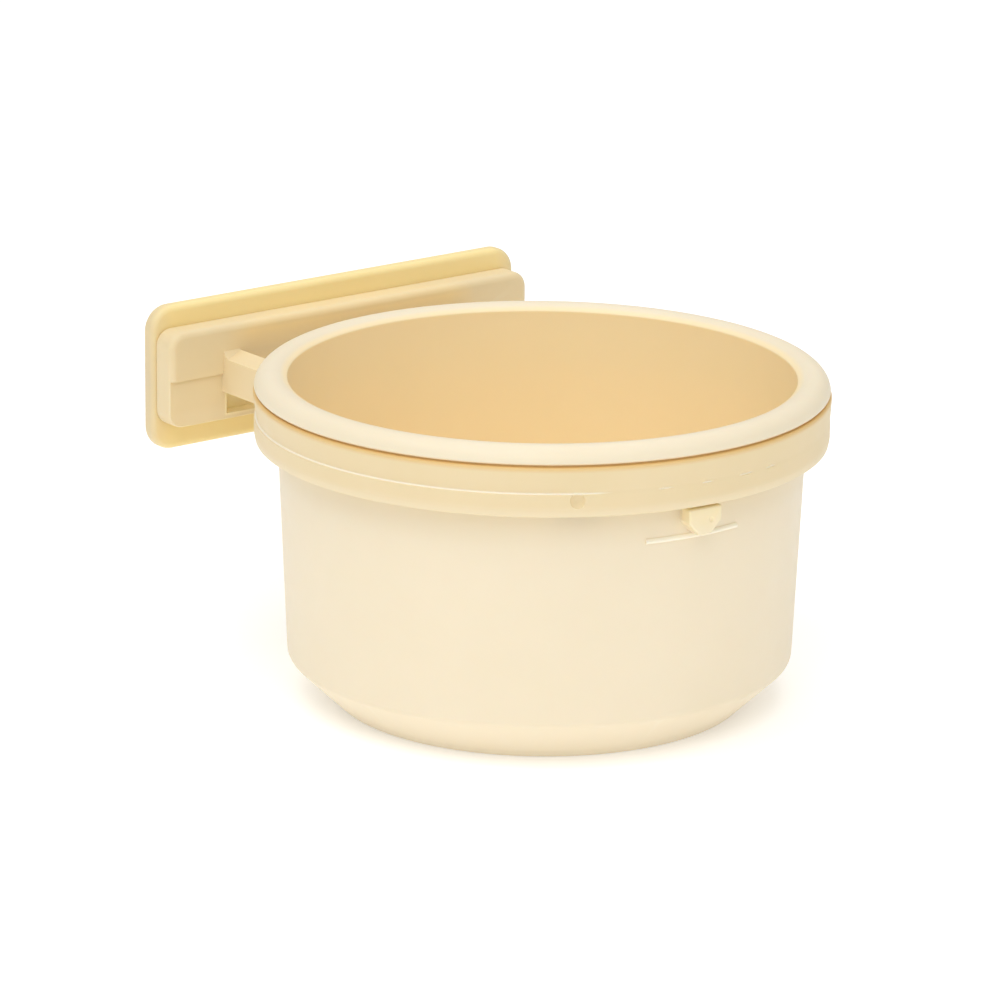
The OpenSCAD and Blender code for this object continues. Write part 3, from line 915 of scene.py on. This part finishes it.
def core_cutters():
    """Cutters for the bays between the upright ribs on the outer plate's back."""
    bays = 2 * BACK_RIBS + 2
    pitch = (OUTER_W - BACK_RIB) / bays
    bay_outline = rounded_outline(pitch - BACK_RIB, OUTER_H - 2 * BACK_RIB, CORE_CORNER_R, steps=5)
    cutters = []
    for bay in range(bays):
        middle = (bay + 0.5) * pitch + (BACK_RIB - OUTER_W) / 2
        outline = [(x + middle, z + OUTER_MID) for x, z in bay_outline]
        cutters.append(extruded(f"core_{bay}", outline, 0, CORE + CUT, upright(OUTER_BACK - CORE)))
    return cutters


def make_outer_plate():
    """The outer plate, cored from behind, with a round boss for the bolt."""
    piece = plate_slab(
        "outer_plate", INNER_BACK, OUTER_MID, OUTER_W, OUTER_H, OUTER_T, OUTER_CORNER_R, OUTER_SOFT
    )
    combined(piece, core_cutters(), "DIFFERENCE")
    base = OUTER_BACK - CORE
    boss = extruded("boss", circle(BOSS_R), 0, washer_low.y - base, along_bolt(base))
    combined(piece, [boss], "UNION")
    depth = washer_low.y - INNER_BACK
    hole = extruded("plate_hole", circle(HOLE_R), -CUT, depth + CUT, along_bolt(INNER_BACK))
    combined(piece, [hole], "DIFFERENCE")
    bevelled(piece, CORE_EDGE, segments=2, angle=55.0)
    shaded(piece, plate_plastic)
    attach(piece, "outer_plate")
    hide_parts("clamp_plate")
    return piece


# Bolt, washer and nuts


def thread_nodes():
    """Geometry nodes for a threaded rod up from the origin: a core, and a ridge that follows a spiral."""
    tree = bpy.data.node_groups.new("threaded_rod", "GeometryNodeTree")
    for label in ("Core", "Ridge", "Pitch", "Length"):
        tree.interface.new_socket(name=label, in_out="INPUT", socket_type="NodeSocketFloat")
    tree.interface.new_socket(name="Geometry", in_out="OUTPUT", socket_type="NodeSocketGeometry")
    add, link = tree.nodes.new, tree.links.new
    given, result = add("NodeGroupInput").outputs, add("NodeGroupOutput")
    core_r, ridge_r, length = given["Core"], given["Ridge"], given["Length"]

    spiral = add("GeometryNodeCurveSpiral")
    spiral.inputs["Resolution"].default_value = 28
    for socket in ("Start Radius", "End Radius"):
        link(core_r, spiral.inputs[socket])
    link(arithmetic(tree, "DIVIDE", length, given["Pitch"]), spiral.inputs["Rotations"])
    link(arithmetic(tree, "SUBTRACT", length, ridge_r), spiral.inputs["Height"])

    ridge, sweep = add("GeometryNodeCurvePrimitiveCircle"), add("GeometryNodeCurveToMesh")
    ridge.inputs["Resolution"].default_value = 6
    sweep.inputs["Fill Caps"].default_value = True
    link(ridge_r, ridge.inputs["Radius"])
    link(spiral.outputs["Curve"], sweep.inputs["Curve"])
    link(ridge.outputs["Curve"], sweep.inputs["Profile Curve"])

    core, lift = add("GeometryNodeMeshCylinder"), add("GeometryNodeTransform")
    rise = add("ShaderNodeCombineXYZ")
    core.inputs["Vertices"].default_value = 48
    link(core_r, core.inputs["Radius"])
    link(length, core.inputs["Depth"])
    link(arithmetic(tree, "MULTIPLY", length, 0.5), rise.inputs["Z"])
    link(core.outputs["Mesh"], lift.inputs["Geometry"])
    link(rise.outputs["Vector"], lift.inputs["Translation"])

    both = add("GeometryNodeJoinGeometry")
    link(lift.outputs["Geometry"], both.inputs["Geometry"])
    link(sweep.outputs["Mesh"], both.inputs["Geometry"])
    real, coat = add("GeometryNodeRealizeInstances"), add("GeometryNodeSetMaterial")
    coat.inputs["Material"].default_value = steel
    for here, there in ((both, real), (real, coat), (coat, result)):
        link(here.outputs["Geometry"], there.inputs["Geometry"])
    return tree


def threaded_rod(core, length):
    """The bolt's threaded stretch, up from the origin."""
    rod = bpy.data.objects.new("rod", bpy.data.meshes.new("rod"))
    bpy.context.scene.collection.objects.link(rod)
    modifier = rod.modifiers.new("thread", "NODES")
    modifier.node_group = thread_nodes()
    sizes = {"Core": core, "Ridge": BOLT_R - core, "Pitch": PITCH, "Length": length}
    for item in modifier.node_group.interface.items_tree:
        if item.in_out == "INPUT":
            modifier[item.identifier] = sizes[item.name]
    return settled(rod)


def make_bolt():
    """The hex bolt: a chamfered head in the slot, a plain neck and a threaded shank."""
    head = SLOT_FLOOR - bolt_low.y
    core, corner = BOLT_R - THREAD_DEPTH, HEX_W / math.sqrt(3)
    chamfer = corner - HEX_W / 2 + HEX_CHAMFER
    piece = extruded("hex_bolt", hexagon(HEX_W), 0, head, along_bolt(bolt_low.y))
    blank_profile = [
        (0, 0),
        (corner - chamfer, 0),
        (corner + HAIR, chamfer * HEX_CHAMFER_SHARE),
        (corner + HAIR, head + HAIR),
        (0, head + HAIR),
    ]
    blank = placed(turned("head_blank", blank_profile, steps=96), along_bolt(bolt_low.y))
    combined(piece, [blank], "INTERSECT")
    neck_profile = [(0, -SUNK), (BOLT_R, -SUNK), (BOLT_R, NECK), (core, NECK + SUNK), (0, NECK + SUNK)]
    neck = placed(turned("neck", neck_profile, steps=48), along_bolt(SLOT_FLOOR))
    combined(piece, [neck], "UNION")
    rod = threaded_rod(core, bolt_high.y - SLOT_FLOOR - NECK)
    way = Matrix.Translation((0, SLOT_FLOOR + NECK, BOLT_H)) @ Matrix.Rotation(-math.pi / 2, 4, "X")
    rod.data.transform(way)
    bm = bmesh.new()
    bm.from_mesh(piece.data)
    bm.from_mesh(rod.data)
    bm.to_mesh(piece.data)
    bm.free()
    bpy.data.objects.remove(rod)
    shaded(piece, steel)
    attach(piece, "bracket")
    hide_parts("clamp_bolt")
    return piece


def make_washer():
    """The flat washer, its edges just broken."""
    low, high = WASHER_EDGE, washer_high.y - washer_low.y - WASHER_EDGE
    near, far = HOLE_R + WASHER_EDGE, washer_high.x - WASHER_EDGE
    corners = ((far, low), (far, high), (near, high), (near, low))
    profile = []
    for corner, start in zip(corners, (-90, 0, 90, 180)):
        profile += arc(corner, WASHER_EDGE, start, start + 90, 3)
    piece = placed(turned("flat_washer", profile, steps=72), along_bolt(washer_low.y))
    shaded(piece, steel)
    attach(piece, "outer_plate")
    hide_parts("washer")
    return piece


def hub():
    """The wing nut's hub, with a foot, a sloping shoulder and a round top."""
    shoulder_r, shoulder_h = HUB_R - WING_T * 3 / 4, HUB_H - WING_T / 4
    profile = [
        (0, 0),
        (HUB_R - HUB_SOFT, 0),
        (HUB_R, HUB_SOFT),
        (HUB_R, WING_T / 2),
        (HUB_R - WING_T / 2, shoulder_h),
        *arc((shoulder_r, shoulder_h), WING_T / 4, 0, 90, 5),
        (0, HUB_H),
    ]
    return placed(turned("wing_nut_body", profile, steps=72), along_bolt(nut_low.y))


def wing(side):
    """One of the two wings, with a round tip that leans outwards."""
    shoulder_h = HUB_H - WING_T / 4
    tip = (nut_high.x - WING_TIP_R, nut_high.y - nut_low.y - WING_TIP_R)
    outline = [
        (HOLE_R, WING_T / 2),
        (HUB_R, WING_T / 2),
        *arc(tip, WING_TIP_R, -WING_LEAN, 180 - WING_LEAN, 20),
        (HUB_R - WING_T / 2, shoulder_h),
        (HOLE_R, shoulder_h),
    ]
    flat = Matrix(((side, 0, 0, 0), (0, 1, 0, nut_low.y), (0, 0, 1, BOLT_H), (0, 0, 0, 1)))
    piece = extruded(f"wing_{side + 2}", outline, -WING_T / 2, WING_T / 2, flat)
    return bevelled(piece, WING_EDGE, segments=3, angle=40.0)


def make_wing_nut():
    """The wing nut: a hub with two wings, a bore for the bolt and a pocket for the hex nut."""
    piece = combined(hub(), [wing(side) for side in (-1, 1)], "UNION")
    height, pocket = nut_high.y - nut_low.y, insert_high.y - nut_low.y
    cuts = [
        extruded("nut_bore", circle(HOLE_R), -CUT, height + CUT, along_bolt(nut_low.y)),
        extruded("nut_pocket", hexagon(HEX_W), -CUT, pocket, along_bolt(nut_low.y)),
    ]
    combined(piece, cuts, "DIFFERENCE")
    shaded(piece, bracket_plastic)
    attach(piece, "nut")
    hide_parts("wing_nut")
    return piece


# The whole part: the hex nut keeps its solid

make_bowl()
make_bracket()
make_outer_plate()
make_bolt()
make_washer()
make_wing_nut()
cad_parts["nut_insert"].data.materials.clear()
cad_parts["nut_insert"].data.materials.append(steel)


# Floor

STAGE_REACH = 3.0
STAGE_DEPTH = 0.02

floor = block("floor", (-STAGE_REACH, -STAGE_REACH, -STAGE_DEPTH), (STAGE_REACH, STAGE_REACH, 0.0))
floor_material, _, floor_shader, _ = node_kit("pale_floor")
floor_shader.inputs["Base Color"].default_value = (0.93, 0.93, 0.93, 1.0)
floor_shader.inputs["Roughness"].default_value = 0.6
floor_shader.inputs["Specular IOR Level"].default_value = 0.2
floor_shader.inputs["Emission Color"].default_value = (1.0, 1.0, 1.0, 1.0)
floor_shader.inputs["Emission Strength"].default_value = 0.26
floor.data.materials.append(floor_material)


# Light

world = bpy.data.worlds.new("studio")
bpy.context.scene.world = world
world.use_nodes = True
backdrop = world.node_tree.nodes["Background"]
backdrop.inputs["Color"].default_value = (1.0, 1.0, 1.0, 1.0)
backdrop.inputs["Strength"].default_value = 0.47

# Area lights: azimuth and elevation in degrees, distance and width in metres, power in watts
SOFTBOXES = {
    "high_front": (-38.0, 45.0, 1.5, 0.8, 5.24),
    "high_left": (-98.0, 60.0, 1.5, 0.8, 4.5),
    "high_right": (22.0, 60.0, 1.5, 0.8, 1.9),
    "high_back": (142.0, 60.0, 1.5, 0.9, 2.95),
    "overhead": (0.0, 89.9, 1.4, 1.2, 2.7),
}


def softbox(name, azimuth, elevation, distance, width, power):
    """A square area light that faces the origin."""
    turn, rise = math.radians(azimuth), math.radians(elevation)
    way = Vector((math.sin(turn) * math.cos(rise), -math.cos(turn) * math.cos(rise), math.sin(rise)))
    data = bpy.data.lights.new(name, "AREA")
    data.shape = "SQUARE"
    data.size = width
    data.energy = power
    lamp = bpy.data.objects.new(name, data)
    lamp.location = way * distance
    lamp.rotation_euler = (-way).to_track_quat("-Z", "Y").to_euler()
    bpy.context.scene.collection.objects.link(lamp)


for label, light in SOFTBOXES.items():
    softbox(label, *light)


# Camera: its elevation, turn, roll and distance from the rim's middle, as fitted to the photograph

ELEVATION = math.radians(16.46)
YAW = math.radians(37.69)
ROLL = 0.0098
DISTANCE = 1.061
FRAME_OFFSET = (7.14 * MM, 19.84 * MM)
FOCAL_SHARE = 6.1192
SENSOR_MM = 36.0
FAR_CLIP = 20.0

right = Vector((math.cos(YAW), -math.sin(YAW), 0.0))
level = math.cos(ELEVATION)
view = Vector((math.sin(YAW) * level, math.cos(YAW) * level, -math.sin(ELEVATION)))
above = right.cross(view)
rim_middle = Vector((0.0, 0.0, RIM_UNDER))
turned_right = right * math.cos(ROLL) + above * math.sin(ROLL)
turned_above = above * math.cos(ROLL) - right * math.sin(ROLL)

camera_data = bpy.data.cameras.new("camera")
camera_data.sensor_width = SENSOR_MM
camera_data.lens = FOCAL_SHARE * SENSOR_MM
camera_data.clip_end = FAR_CLIP
camera = bpy.data.objects.new("camera", camera_data)
camera.location = rim_middle - view * DISTANCE - right * FRAME_OFFSET[0] - above * FRAME_OFFSET[1]
camera.rotation_euler = Matrix((turned_right, turned_above, -view)).transposed().to_euler()
bpy.context.scene.collection.objects.link(camera)
bpy.context.scene.camera = camera
bpy.context.scene.view_settings.view_transform = "Standard"
